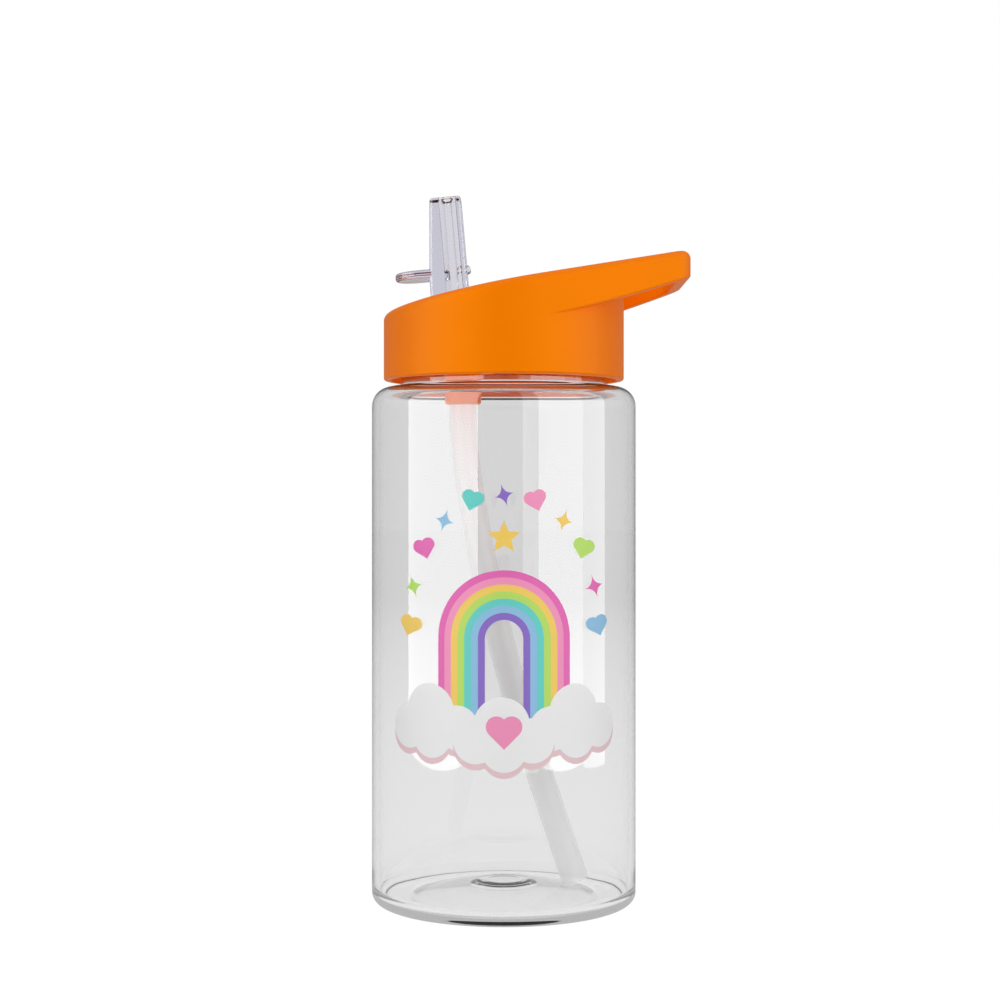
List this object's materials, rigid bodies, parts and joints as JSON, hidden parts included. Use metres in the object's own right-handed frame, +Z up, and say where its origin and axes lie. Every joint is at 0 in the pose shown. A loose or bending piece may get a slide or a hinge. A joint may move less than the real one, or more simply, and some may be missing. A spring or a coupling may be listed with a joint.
{
  "type": "kids water bottle",
  "caption": "Clear plastic kids' bottle with a screw lid, carry loop, flip-up mouth spout and drinking straw.",
  "frame": {"origin": "on the bottle's axis, in the plane it stands on", "axes": "+Z up the bottle, +X towards the carry loop, +Y along the spout's hinge axis"},
  "size_m": [0.0828, 0.0696, 0.1855],
  "materials": {
    "clear_tritan": "clear, polished",
    "orange_polypropylene": "satin, injection moulded",
    "clear_spout": "clear, slightly soft",
    "clear_silicone": "satin",
    "straw_plastic": "translucent"
  },
  "bodies": {
    "bottle": {"bottle_body": "clear_tritan"},
    "gasket": {"lid_gasket": "clear_silicone"},
    "lid": {"lid_cap": "orange_polypropylene", "spout_seal": "clear_silicone", "vent_valve": "clear_silicone", "drinking_straw": "straw_plastic"},
    "spout": {"flip_spout": "clear_spout"}
  },
  "joints": [
    {"name": "lid_lift", "type": "slide", "parent": "bottle", "child": "gasket", "axis": [0, 0, 1], "range_m": [0, 0.00501]},
    {"name": "lid_turn", "type": "hinge", "parent": "gasket", "child": "lid", "pos_m": [0, 0, 0.143], "axis": [0, 0, 1], "range_deg": [0, 450]},
    {"name": "spout_flip", "type": "hinge", "parent": "lid", "child": "spout", "pos_m": [-0.0108, 0, 0.15], "axis": [0, 1, 0], "range_deg": [0, 82]}
  ],
  "couplings": [
    {"joint": "lid_lift", "follows": "lid_turn", "m_per_rad": 0.00063662}
  ]
}
